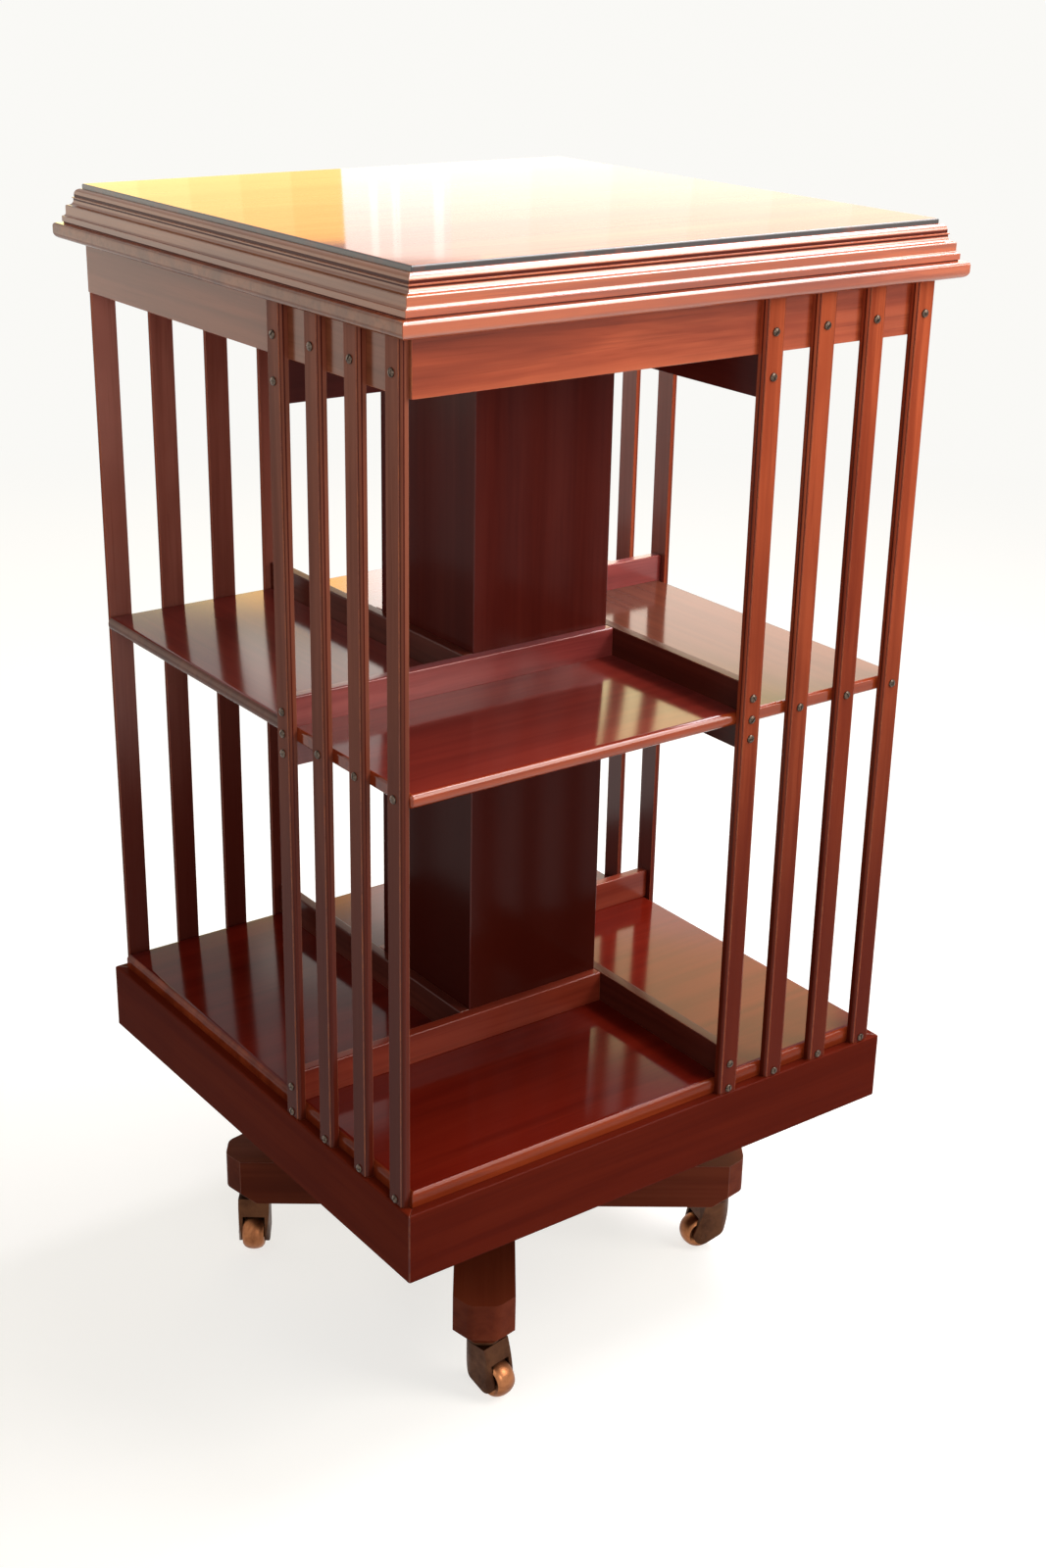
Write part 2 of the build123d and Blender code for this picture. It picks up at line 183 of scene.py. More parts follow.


# Mahogany tones: dark streaks, body and light streaks. Each tone's variants follow it. The _shade copies are
# painted shade, darker and browner, except the plinth's, which is lighter and redder, painted light.
tones = {
    "top": (rgb(0.130, 0.026, 0.009), rgb(0.260, 0.060, 0.020), rgb(0.340, 0.095, 0.034)),
    "moulding": (rgb(0.200, 0.030, 0.006), rgb(0.480, 0.082, 0.013), rgb(0.590, 0.142, 0.030)),
    "moulding_shade": (rgb(0.190, 0.054, 0.016), rgb(0.390, 0.122, 0.036), rgb(0.490, 0.176, 0.060)),
    "nosing": (rgb(0.200, 0.030, 0.009), rgb(0.460, 0.080, 0.020), rgb(0.580, 0.135, 0.040)),
    "nosing_shade": (rgb(0.160, 0.045, 0.014), rgb(0.320, 0.096, 0.030), rgb(0.410, 0.140, 0.050)),
    "frieze": (rgb(0.180, 0.026, 0.010), rgb(0.480, 0.083, 0.029), rgb(0.640, 0.160, 0.066)),
    "frieze_shade": (rgb(0.200, 0.056, 0.022), rgb(0.300, 0.086, 0.036), rgb(0.370, 0.115, 0.052)),
    "slat": (rgb(0.190, 0.029, 0.012), rgb(0.420, 0.078, 0.029), rgb(0.520, 0.120, 0.048)),
    "slat_shade": (rgb(0.160, 0.041, 0.022), rgb(0.280, 0.080, 0.043), rgb(0.360, 0.115, 0.066)),
    # Paler, pinker inner sides of the right and back slats: a painted sheen.
    "slat_inner": (rgb(0.290, 0.082, 0.054), rgb(0.490, 0.155, 0.108), rgb(0.570, 0.200, 0.142)),
    "case": (rgb(0.090, 0.012, 0.009), rgb(0.122, 0.017, 0.012), rgb(0.148, 0.023, 0.016)),
    # The lip's pinkish tone is a painted sheen; lip_shade and lip_low are darker copies for the side lips and
    # the lower bay, painted shade.
    "lip": (rgb(0.170, 0.022, 0.019), rgb(0.310, 0.046, 0.039), rgb(0.400, 0.078, 0.066)),
    "lip_shade": (rgb(0.070, 0.013, 0.008), rgb(0.110, 0.020, 0.012), rgb(0.145, 0.030, 0.018)),
    "lip_low": (rgb(0.140, 0.017, 0.008), rgb(0.230, 0.030, 0.014), rgb(0.290, 0.050, 0.024)),
    "shelf": (rgb(0.150, 0.013, 0.006), rgb(0.205, 0.018, 0.009), rgb(0.250, 0.026, 0.013)),
    "shelf_shade": (rgb(0.080, 0.018, 0.007), rgb(0.110, 0.025, 0.010), rgb(0.140, 0.034, 0.014)),
    "nose": (rgb(0.170, 0.021, 0.006), rgb(0.330, 0.048, 0.012), rgb(0.430, 0.080, 0.022)),
    "nose_shade": (rgb(0.100, 0.024, 0.010), rgb(0.170, 0.044, 0.018), rgb(0.220, 0.062, 0.026)),
    "bottom": (rgb(0.090, 0.0055, 0.0025), rgb(0.120, 0.007, 0.003), rgb(0.150, 0.011, 0.0045)),
    "bead": (rgb(0.130, 0.016, 0.005), rgb(0.240, 0.033, 0.009), rgb(0.330, 0.058, 0.016)),
    "plinth": (rgb(0.075, 0.007, 0.003), rgb(0.096, 0.009, 0.0035), rgb(0.118, 0.013, 0.005)),
    "plinth_shade": (rgb(0.105, 0.011, 0.004), rgb(0.140, 0.015, 0.005), rgb(0.165, 0.021, 0.007)),
    "base": (rgb(0.105, 0.018, 0.007), rgb(0.150, 0.027, 0.011), rgb(0.180, 0.037, 0.015)),
}

# The ending of the painted-shade copies' names, the face and the shelf that have them, the lips' tones in the
# upper and lower bays, and the faces whose slats have paler, pinker inner sides, a painted sheen
shade_mark = "_shade"
shaded_face = "left"
painted_shade_shelf = "right"
lip_tones = {"front": "lip", "right": "lip_shade", "back": "lip", "left": "lip_shade"}
low_lip_tones = {"front": "lip_low", "right": "lip_shade", "back": "lip_low", "left": "lip_shade"}
painted_sheen_faces = ("right", "back")

# Polish of each tone: weight, index of refraction and roughness of the clear coat, the height of its waves
# in millimetres, and the dusty bloom that old polish has. A variant with no row of its own takes its tone's.
polish = {
    "top": (0.5, 1.45, 0.05, 0.02, 0.0),
    "moulding": (1.0, 1.95, 0.18, 0.03, 0.0),
    "moulding_shade": (1.0, 1.52, 0.14, 0.03, 0.0),
    "nosing": (1.0, 1.85, 0.19, 0.04, 0.0),
    "nosing_shade": (0.8, 1.50, 0.14, 0.04, 0.0),
    "frieze": (0.8, 1.45, 0.20, 0.06, 0.04),
    "slat": (0.15, 1.42, 0.18, 0.05, 0.0),
    "slat_shade": (0.25, 1.45, 0.22, 0.05, 0.0),
    "slat_inner": (0.7, 1.50, 0.25, 0.05, 0.05),
    "case": (0.22, 1.42, 0.16, 0.04, 0.0),
    "lip": (1.0, 1.50, 0.20, 0.05, 0.12),
    "lip_shade": (0.4, 1.45, 0.20, 0.05, 0.0),
    "lip_low": (0.5, 1.45, 0.20, 0.05, 0.0),
    "shelf": (0.9, 1.50, 0.11, 0.03, 0.03),
    "shelf_shade": (0.6, 1.48, 0.11, 0.03, 0.03),
    "nose": (0.8, 1.50, 0.08, 0.03, 0.0),
    "nose_shade": (0.5, 1.45, 0.12, 0.03, 0.0),
    "bottom": (0.5, 1.45, 0.11, 0.03, 0.0),
    "bead": (0.35, 1.42, 0.12, 0.04, 0.0),
    "plinth": (0.06, 1.40, 0.18, 0.05, 0.0),
    "base": (0.14, 1.40, 0.22, 0.08, 0.0),
}
bloom_tint = rgb(0.86, 0.82, 1.0)
bloom_roughness = 0.5

# Painted shade at the foot of the case, which darkens its lower parts: the colour there, the share of the
# tone that is left there, and the heights in metres between which the tone comes back
foot_shade_colours = {"slat": rgb(0.088, 0.0085, 0.0035), "case": rgb(0.055, 0.006, 0.003)}
foot_shade_shares = {"slat": 0.08, "case": 0.0}
foot_shade_margin = 0.07
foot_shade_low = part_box("bottom_board")[1][2] + foot_shade_margin
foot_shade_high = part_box("frieze_rail_front")[0][2] - foot_shade_margin

# Figure of the wood: frequency along and across the grain per metre, detail, roughness and distortion
ribbon_figure = ((1.6, 34.0, 34.0), 5.0, 0.6, 0.7)
cloud_figure = ((5.0, 11.0, 11.0), 3.0, 0.55, 0.3)
line_figure = ((3.5, 120.0, 120.0), 4.0, 0.6, 0.0)
fibre_figure = ((9.0, 420.0, 420.0), 3.0, 0.65, 0.0)
wave_figure = ((7.0, 16.0, 16.0), 2.0, 0.55, 0.0)

# The part of each figure's range over which the wood turns lighter or darker, and how far it turns
ribbon_lighter = (0.42, 0.72)
ribbon_darker = (0.50, 0.24)
cloud_darker = (0.40, 0.70, 0.0, 0.55)
line_darker = (0.52, 0.30, 0.0, 0.6)
pore_darker = (0.40, 0.27, 0.0, 0.55)

# Roughness under the polish, height of the fibres in millimetres, and strength of the relief
wood_roughness = 0.6
fibre_height = 0.015
wood_relief = 0.5


def finish_of(tone):
    """The tone that a variant belongs to."""
    return tone.split("_")[0]


def with_foot_shade(graph, colour, tone):
    """Colour that deepens towards the foot of the case: painted shade."""
    finish = finish_of(tone)
    if finish not in foot_shade_colours:
        return colour
    height = graph.node("ShaderNodeSeparateXYZ", {"Vector": graph.coordinates()}).outputs["Z"]
    kept = graph.remap(height, foot_shade_low, foot_shade_high, foot_shade_shares[finish], smooth=True)
    return graph.blend(kept, foot_shade_colours[finish], colour)


@cache
def mahogany(tone, grain):
    """Polished mahogany: ribbon streaks, pores and clouds of colour under a clear polish."""
    dark, body, light = tones[tone]
    weight, index, gloss, ripple, bloom = polish.get(tone, polish[finish_of(tone)])
    rotation = grains[grain]
    graph = Graph("mahogany_" + tone + "_" + grain)
    ribbon = graph.figure(rotation, *ribbon_figure)
    cloud = graph.figure(rotation, *cloud_figure)
    lines = graph.figure(rotation, *line_figure)
    fibre = graph.figure(rotation, *fibre_figure)
    waves = graph.figure(rotation, *wave_figure)
    colour = graph.blend(graph.remap(ribbon, *ribbon_lighter), body, light)
    for figure, darker in (
        (ribbon, ribbon_darker),
        (cloud, cloud_darker),
        (lines, line_darker),
        (fibre, pore_darker),
    ):
        colour = graph.blend(graph.remap(figure, *darker), colour, dark)
    # The base colour carries the painted shade towards the foot.
    graph.set(Base_Color=with_foot_shade(graph, colour, tone), Roughness=wood_roughness, Specular_IOR_Level=0.0)
    graph.coat(weight, index, gloss)
    graph.set(Sheen_Weight=bloom, Sheen_Roughness=bloom_roughness, Sheen_Tint=bloom_tint)
    wavy = graph.math("MULTIPLY", waves, ripple)
    fibrous = graph.math("MULTIPLY", fibre, fibre_height)
    normal = graph.bump(graph.math("ADD", wavy, fibrous), wood_relief, millimetre)
    graph.feed(graph.shader.inputs["Coat Normal"], normal)
    return graph.material


# Painted shade in the quirks: colour, roughness, and the coat's weight, index of refraction and roughness
quirk_colour = rgb(0.085, 0.012, 0.006)
quirk_roughness = 0.5
quirk_coat = (0.4, 1.42, 0.2)


@cache
def quirk_shade():
    """Painted shade in the quirks of the slats and mouldings."""
    graph = Graph("quirk_shade")
    graph.set(Base_Color=quirk_colour, Roughness=quirk_roughness, Specular_IOR_Level=0.0)
    graph.coat(*quirk_coat)
    return graph.material


# Near-black step edge: colour, roughness and coat, and the noise and range of the places where the wood's
# colour shows through, with the noise's frequency per metre, detail and roughness
dark_step_colour = rgb(0.018, 0.014, 0.015)
dark_step_roughness = 0.5
dark_step_coat = (0.7, 1.45, 0.16)
show_through_noise = (30.0, 5.0, 0.6)
show_through_range = (0.52, 0.72)


def dark_step_edge():
    """Near-black colour on the step round the top panel, with the wood's colour showing through here and
    there.
    """
    graph = Graph("dark_step_edge")
    shows_wood = graph.remap(graph.noise(graph.coordinates(), *show_through_noise), *show_through_range)
    wood_colour = tones["top"][0]
    graph.set(Base_Color=graph.blend(shows_wood, dark_step_colour, wood_colour), Roughness=dark_step_roughness)
    graph.coat(*dark_step_coat)
    return graph.material


# Arrises, partly wear and partly painted highlight: how much of the worn and highlit colour shows on each
# tone, the noise and range of the patches where it does and of the dark speckles, and their relief and coat
wear_and_highlight_colour = rgb(0.55, 0.150, 0.042)
arris_wear_and_highlight = {
    "moulding": 0.9,
    "nosing": 0.9,
    "frieze": 0.8,
    "slat": 0.5,
    "case": 0.0,
    "lip": 0.2,
    "plinth": 0.25,
    "base": 0.3,
}
patch_noise = (46.0, 5.0, 0.62)
patch_range = (0.44, 0.60, 0.0)
speckle_noise = (420.0, 2.0)
speckle_range = (0.55, 0.75, 0.0, 0.6)
speckle_relief = 0.25
speckle_depth = 0.4 * millimetre
arris_roughness = 0.5
arris_specular = 0.2
arris_coat = (0.5, 1.45, 0.14)


@cache
def worn_and_highlit_arris(tone):
    """Mahogany on an arris, orange here and there: partly where handling has thinned the stain, partly a
    painted highlight.
    """
    dark, body = tones[tone][:2]
    graph = Graph("worn_" + tone)
    source = graph.coordinates()
    patches = graph.remap(graph.noise(source, *patch_noise), *patch_range, arris_wear_and_highlight[finish_of(tone)])
    speckle = graph.noise(source, *speckle_noise)
    # The orange patches are partly wear and partly a painted highlight.
    worn = graph.blend(patches, body, wear_and_highlight_colour)
    graph.set(Base_Color=graph.blend(graph.remap(speckle, *speckle_range), worn, dark))
    graph.set(Roughness=arris_roughness, Specular_IOR_Level=arris_specular)
    graph.coat(*arris_coat)
    graph.bump(speckle, speckle_relief, speckle_depth)
    return graph.material


# Metals: dark patina, bright metal, roughness, and patches of patina per metre
metals = {
    "aged_brass": (rgb(0.055, 0.022, 0.012), rgb(0.095, 0.039, 0.019), 0.45, 45.0),
    "worn_brass": (rgb(0.220, 0.080, 0.034), rgb(0.400, 0.160, 0.068), 0.36, 60.0),
    "blackened_iron": (rgb(0.020, 0.020, 0.020), rgb(0.070, 0.066, 0.062), 0.55, 50.0),
    "turned_steel": (rgb(0.22, 0.21, 0.20), rgb(0.48, 0.47, 0.45), 0.35, 90.0),
    "bronzed_steel": (rgb(0.030, 0.021, 0.016), rgb(0.150, 0.110, 0.085), 0.30, 900.0),
}

# Patina: its detail, roughness and distortion, its ranges for colour and gloss, and its effect on roughness
patina_noise = (6.0, 0.65, 0.4)
patina_colour_range = (0.36, 0.62)
patina_gloss_range = (0.3, 0.7)
patina_rougher = 1.4
patina_smoother = 0.8

# Pits in the metal, as many times finer than the patina as the ratio says
pit_ratio = 6.0
pit_detail = 4.0
pit_relief = 0.2
pit_depth = 0.6 * millimetre


@cache
def metal(name):
    """Old metal: bright where it is handled, with a dark patina in patches."""
    dark, light, roughness, spots = metals[name]
    graph = Graph(name)
    source = graph.coordinates()
    patina = graph.noise(source, spots, *patina_noise)
    graph.set(Base_Color=graph.blend(graph.remap(patina, *patina_colour_range), dark, light), Metallic=1.0)
    ends = (roughness * patina_rougher, roughness * patina_smoother)
    graph.set(Roughness=graph.remap(patina, *patina_gloss_range, *ends))
    graph.bump(graph.noise(source, spots * pit_ratio, pit_detail), pit_relief, pit_depth)
    return graph.material


# Limits of the faces' normals that tell level, turned, inner, quirk and step faces from the others
level_least = 0.9
turned_least = 0.2
inner_least = 0.9
quirk_least = 0.9
quirk_most = 0.999
step_most = 0.01

# Heights of the steps that the moulding's quirks have
recess_least = 1.0 * millimetre
recess_most = 2.5 * millimetre


def is_side(face):
    """An upright or rounded face of a level board."""
    return abs(face.normal.z) < level_least


def is_shaded(face):
    """A face that is turned to the shaded side of the case."""
    return face.normal.dot(outward[shaded_face]) > turned_least


def is_quirk(face):
    """The inner part of a slat's bead, beside the quirk."""
    return quirk_least < max(abs(face.normal.x), abs(face.normal.y)) < quirk_most


def is_recess(face):
    """A narrow upright step between two members of the moulding."""
    corners = face.id_data.vertices
    heights = [corners[index].co.z for index in face.vertices]
    rise = max(heights) - min(heights)
    return abs(face.normal.z) < step_most and recess_least < rise < recess_most


# Places of the second and third material on a mesh
second_slot = 1
third_slot = 2


def paint(mesh, slot_index, chosen):
    """Gives the faces that a test picks another of the mesh's material slots."""
    for face in mesh.polygons:
        if chosen(face):
            face.material_index = slot_index


# Corners closer than the reach are one, faces within the flat angle are one, and edges past the arris angle
# are eased
weld_reach = 0.01 * millimetre
flat_angle = math.radians(0.5)
arris_angle = math.radians(32)

# Eased arrises of each kind of piece: width in millimetres and segments
eases = {
    "top_panel": (0.3, 2),
    "nosing_board": (0.3, 2),
    "bottom_board": (0.5, 2),
    "edge_moulding": (0.15, 2),
    "frieze_rail": (0.7, 2),
    "top_divider": (0.8, 2),
    "middle_divider": (0.8, 2),
    "bottom_lip": (0.8, 2),
    "shelf_board": (0.6, 2),
    "plinth_board": (0.8, 2),
    "slats": (0.25, 2),
    "column_board": (0.7, 2),
    "leg": (2.5, 3),
    "pillar": (0.8, 2),
    "castor_plates": (0.5, 2),
    "castor_horn": (1.0, 3),
    "castor_axle": (0.3, 2),
    "spindle": (0.8, 2),
    "spindle_flange": (0.6, 2),
    "lower_bearing_plate": (0.6, 2),
    "upper_bearing_cup": (0.6, 2),
}


def dress(kind, materials, place=None):
    """Materials on the slots of one piece, and eased arrises that take the last one. Gives its mesh."""
    width, segments = eases[kind]
    piece = frame["nodes"][kind + "_" + place if place else kind]
    mesh = piece.data
    if "custom_normal" in mesh.attributes:
        mesh.attributes.remove(mesh.attributes["custom_normal"])
    mesh.polygons.foreach_set("use_smooth", [True] * len(mesh.polygons))
    mesh.materials.clear()
    for material in materials:
        mesh.materials.append(material)
    weld = piece.modifiers.new("weld", "WELD")
    weld.merge_threshold = weld_reach
    flatten = piece.modifiers.new("flatten", "DECIMATE")
    flatten.decimate_type = "DISSOLVE"
    flatten.angle_limit = flat_angle
    bevel = piece.modifiers.new("ease", "BEVEL")
    bevel.width = width * millimetre
    bevel.segments = segments
    bevel.limit_method = "ANGLE"
    bevel.angle_limit = arris_angle
    bevel.harden_normals = True
    bevel.material = len(materials) - 1
    return mesh


def dress_plain(kind, tone, grain, place=None):
    """A piece of one tone, with arrises that are partly worn and partly a painted highlight."""
    dress(kind, [mahogany(tone, grain), worn_and_highlit_arris(tone)], place)


def dress_boards():
    """Top, nosing and bottom board, which reach across the whole case."""
    mesh = dress("top_panel", [mahogany("top", "x"), dark_step_edge()])
    paint(mesh, second_slot, is_side)
    # The nosing's faces on the shaded side take a darker copy: painted shade.
    sides = [mahogany("nosing", "x"), mahogany("nosing" + shade_mark, "x")]
    mesh = dress("nosing_board", sides + [worn_and_highlit_arris("nosing")])
    paint(mesh, second_slot, is_shaded)
    mesh = dress("bottom_board", [mahogany("bottom", "x"), mahogany("bead", "x")])
    paint(mesh, second_slot, is_side)


def dress_face(face):
    """Moulding, rail, dividers, shelf, plinth and column board of one face of the case."""
    grain = grain_of_face[face]
    # On the shaded face every tone takes its _shade copy: painted shade, and on the plinth painted light.
    mark = shade_mark if face == shaded_face else ""
    moulding = "moulding" + mark
    mesh = dress("edge_moulding", [mahogany(moulding, grain), quirk_shade(), worn_and_highlit_arris(moulding)], face)
    # Painted shade on the moulding's narrow steps.
    paint(mesh, second_slot, is_recess)
    # The right shelf takes a darker, browner copy: painted shade.
    shelf = "shelf" + (shade_mark if face == painted_shade_shelf else "")
    mesh = dress("shelf_board", [mahogany(shelf, grain), mahogany("nose" + mark, "x")], face)
    paint(mesh, second_slot, is_side)
    dress_plain("frieze_rail", "frieze" + mark, grain, face)
    dress_plain("top_divider", "case", grain, face)
    # Lips: a pinkish painted sheen at the front and back of the upper bay, darker copies with painted shade
    # on the side lips and in the lower bay.
    dress_plain("middle_divider", lip_tones[face], grain, face)
    dress_plain("bottom_lip", low_lip_tones[face], grain, face)
    dress_plain("plinth_board", "plinth" + mark, grain, face)
    dress_plain("column_board", "case", "z", face)


def dress_slats(face):
    """The four slats of one face, with painted shade beside the quirks and, on some faces, inner sides with a
    painted sheen.
    """
    tone = "slat" + (shade_mark if face == shaded_face else "")
    sides = [mahogany(tone, "z"), quirk_shade()]
    if face in painted_sheen_faces:
        sides.append(mahogany("slat_inner", "z"))
    mesh = dress("slats", sides + [worn_and_highlit_arris(tone)], face)
    # Painted shade beside the quirks.
    paint(mesh, second_slot, is_quirk)
    # The inner sides take a paler, pinker copy: painted sheen.
    if face in painted_sheen_faces:
        paint(mesh, third_slot, lambda side: side.normal.dot(outward[face]) < -inner_least)


def dress_wood():
    """Every wooden node, with its grain along its length."""
    dress_boards()
    for face in outward:
        dress_face(face)
        dress_slats(face)
    dress_plain("leg", "base", "lower", "lower")
    dress_plain("leg", "base", "upper", "upper")
    dress_plain("pillar", "base", "pillar")


def link(name, mesh, materials=()):
    """A new piece from a mesh, with its materials."""
    piece = bpy.data.objects.new(name, mesh)
    bpy.context.scene.collection.objects.link(piece)
    for material in materials:
        mesh.materials.append(material)
    return piece


def to_mesh(name, shape):
    """Mesh of a shape, which is freed."""
    mesh = bpy.data.meshes.new(name)
    shape.to_mesh(mesh)
    shape.free()
    return mesh


def turned(profile, sides):
    """Shape turned about Z from points (radius, height) that run from axis to axis or close a loop."""
    shape = bmesh.new()
    angles = [2 * math.pi * step / sides for step in range(sides)]
    rings = []
    for radius, height in profile:
        if radius == 0:
            ring = [(0, 0, height)]
        else:
            ring = [(radius * math.cos(angle), radius * math.sin(angle), height) for angle in angles]
        rings.append([shape.verts.new(corner) for corner in ring])
    for low, high in zip(rings, rings[1:]):
        for step in range(sides):
            corners = [low[step % len(low)], low[(step + 1) % len(low)]]
            corners += [high[(step + 1) % len(high)], high[step % len(high)]]
            shape.faces.new(list(dict.fromkeys(corners)))
    return shape


# Digits after the point to which the solids' centres are compared, in metres
sort_digits = 4


def group_centre(corners):
    """Middle of the box round some corners."""
    low = Vector([min(corner[axis] for corner in corners) for axis in range(3)])
    high = Vector([max(corner[axis] for corner in corners) for axis in range(3)])
    return (low + high) / 2


def islands(node):
    """Corners of each separate solid of a node."""
    shape = bmesh.new()
    shape.from_mesh(frame["nodes"][node].data)
    bmesh.ops.remove_doubles(shape, verts=shape.verts, dist=weld_reach)
    left = set(shape.verts)
    groups = []
    while left:
        front = [left.pop()]
        group = list(front)
        while front:
            for edge in front.pop().link_edges:
                for vert in edge.verts:
                    if vert in left:
                        left.remove(vert)
                        front.append(vert)
                        group.append(vert)
        groups.append([vert.co.copy() for vert in group])
    shape.free()
    return sorted(groups, key=lambda group: tuple(round(value, sort_digits) for value in group_centre(group)))


# Screw heads on the solids' outline, with a slot that runs out past the rim
screw_radius = 3.2 * millimetre
screw_rim = 0.4 * millimetre
screw_dome = 1.5 * millimetre
screw_top = screw_rim + screw_dome
screw_slot_length = 3 * screw_radius
screw_slot_width = 0.8 * millimetre
screw_slot_depth = 0.9 * millimetre
screw_sides = 20
screw_rings = 6
screw_sharp_angle = math.radians(40)
screw_seed = 7


def slotted_head():
    """Mesh of one domed screw head with a slot, seated at Z 0 with its axis along Z."""
    profile = [(0, 0), (screw_radius, 0)]
    for step in range(screw_rings):
        angle = math.pi / 2 * step / screw_rings
        profile.append((screw_radius * math.cos(angle), screw_rim + screw_dome * math.sin(angle)))
    profile.append((0, screw_top))
    head = link("screw_head", to_mesh("screw_head", turned(profile, screw_sides)))
    # The slot's block is centred on the top of the dome, so that half of its height cuts
    block = Matrix.Diagonal((screw_slot_length, screw_slot_width, 2 * screw_slot_depth, 1))
    shape = bmesh.new()
    bmesh.ops.create_cube(shape, size=1.0, matrix=Matrix.Translation((0, 0, screw_top)) @ block)
    slot = link("screw_slot", to_mesh("screw_slot", shape))
    cut = head.modifiers.new("slot", "BOOLEAN")
    cut.operation = "DIFFERENCE"
    cut.object = slot
    result = bpy.data.meshes.new_from_object(head.evaluated_get(bpy.context.evaluated_depsgraph_get()))
    bpy.data.objects.remove(head)
    bpy.data.objects.remove(slot)
    return result


def make_screws():
    """Slotted screw heads on the slats, each turned its own way."""
    draws = random.Random(screw_seed)
    head = slotted_head()
    shape = bmesh.new()
    for corners in islands("slat_screws"):
        centre = group_centre(corners)
        if abs(centre.x) > abs(centre.y):
            axis = Vector((math.copysign(1, centre.x), 0, 0))
        else:
            axis = Vector((0, math.copysign(1, centre.y), 0))
        seat = min(corner.dot(axis) for corner in corners)
        place = centre + axis * (seat - centre.dot(axis))
        spin = Matrix.Rotation(draws.uniform(0, math.pi), 4, "Z")
        turn = axis.to_track_quat("Z", "Y").to_matrix().to_4x4()
        copy = head.copy()
        copy.transform(Matrix.Translation(place) @ turn @ spin)
        shape.from_mesh(copy)
        bpy.data.meshes.remove(copy)
    mesh = to_mesh("slotted_screws", shape)
    mesh.shade_smooth()
    mesh.set_sharp_from_angle(angle=screw_sharp_angle)
    screws = link("slotted_screws", mesh, [metal("bronzed_steel")])
    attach(screws, "case")
    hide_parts("slat_screws")


# Castor wheels on the solids' crowned outline, with dished sides round a hub
wheel_half_width = 9.5 * millimetre
wheel_edge_radius = 11.8 * millimetre
wheel_bore = 2.7 * millimetre
wheel_dish = 1.2 * millimetre
wheel_hub_radius = 5.0 * millimetre
wheel_rim_radius = wheel_edge_radius - 2 * wheel_dish
wheel_crown_power = 0.6
wheel_sides = 48
wheel_steps = 12
wheel_sharp_angle = math.radians(45)


def wheel_profile(crown):
    """Points (radius, height) round a wheel's section: a dished side, the tread and the other side."""
    dished = wheel_dish - wheel_half_width
    side = [
        (wheel_bore, -wheel_half_width),
        (wheel_hub_radius, -wheel_half_width),
        (wheel_hub_radius + wheel_dish, dished),
        (wheel_rim_radius, dished),
    ]
    tread = []
    for step in range(wheel_steps + 1):
        along = 2 * step / wheel_steps - 1
        swell = crown * (1 - along ** 2) ** wheel_crown_power
        tread.append((wheel_edge_radius + swell, along * wheel_half_width))
    other_side = [(radius, -height) for radius, height in reversed(side)]
    return side + tread + other_side + side[:1]


def make_wheel(place):
    """Barrel-shaped wheel of one castor, turned about its own axle."""
    spin = next(joint for joint in frame["joints"] if joint["name"] == "wheel_spin_" + place)
    hub = Vector(spin["pos_m"])
    shape = turned(wheel_profile(hub.z - wheel_edge_radius), wheel_sides)
    bmesh.ops.remove_doubles(shape, verts=shape.verts, dist=weld_reach)
    turn = Vector(spin["axis"]).to_track_quat("Z", "Y").to_matrix().to_4x4()
    bmesh.ops.transform(shape, matrix=Matrix.Translation(hub) @ turn, verts=shape.verts)
    bmesh.ops.recalc_face_normals(shape, faces=shape.faces)
    mesh = to_mesh("barrel_wheel_" + place, shape)
    mesh.shade_smooth()
    mesh.set_sharp_from_angle(angle=wheel_sharp_angle)
    wheel = link("barrel_wheel_" + place, mesh, [metal("worn_brass")])
    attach(wheel, "wheel_" + place)
    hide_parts("castor_wheel_" + place)


def dress_metal():
    """Castors, spindle, bearings and screws."""
    for kind in ("spindle_flange", "lower_bearing_plate", "upper_bearing_cup"):
        dress(kind, [metal("blackened_iron")])
    dress("spindle", [metal("turned_steel")])
    dress("castor_plates", [metal("aged_brass")])
    make_screws()
    for place in castor_places:
        dress("castor_horn", [metal("aged_brass")], place)
        dress("castor_axle", [metal("aged_brass")], place)
        make_wheel(place)


def seen_rays(tree):
    """1 for the rays that see the background itself: camera, glossy and transmission rays."""
    path = tree.nodes.new("ShaderNodeLightPath")
    total = path.outputs["Is Camera Ray"]
    for ray in ("Is Glossy Ray", "Is Transmission Ray"):
        adder = tree.nodes.new("ShaderNodeMath")
        adder.operation = "ADD"
        adder.use_clamp = True
        tree.links.new(total, adder.inputs[0])
        tree.links.new(path.outputs[ray], adder.inputs[1])
        total = adder.outputs["Value"]
    return total


# Background that is seen, and the soft light that the other rays get from it
background_colour = rgb(0.955, 0.948, 0.920)
ambient_colour = rgb(1.0, 0.975, 0.94)
ambient_strength = 0.24


def make_world():
    """Pale background for the rays that see it, and even soft light for the rest."""
    world = bpy.data.worlds.new("studio")
    bpy.context.scene.world = world
    world.use_nodes = True
    tree = world.node_tree
    tree.nodes.clear()
    backdrop = tree.nodes.new("ShaderNodeBackground")
    backdrop.inputs["Color"].default_value = background_colour
    ambient = tree.nodes.new("ShaderNodeBackground")
    ambient.inputs["Color"].default_value = ambient_colour
    ambient.inputs["Strength"].default_value = ambient_strength
    mix = tree.nodes.new("ShaderNodeMixShader")
    tree.links.new(seen_rays(tree), mix.inputs["Fac"])
    tree.links.new(ambient.outputs["Background"], mix.inputs[1])
    tree.links.new(backdrop.outputs["Background"], mix.inputs[2])
    output = tree.nodes.new("ShaderNodeOutputWorld")
    tree.links.new(mix.outputs["Shader"], output.inputs["Surface"])


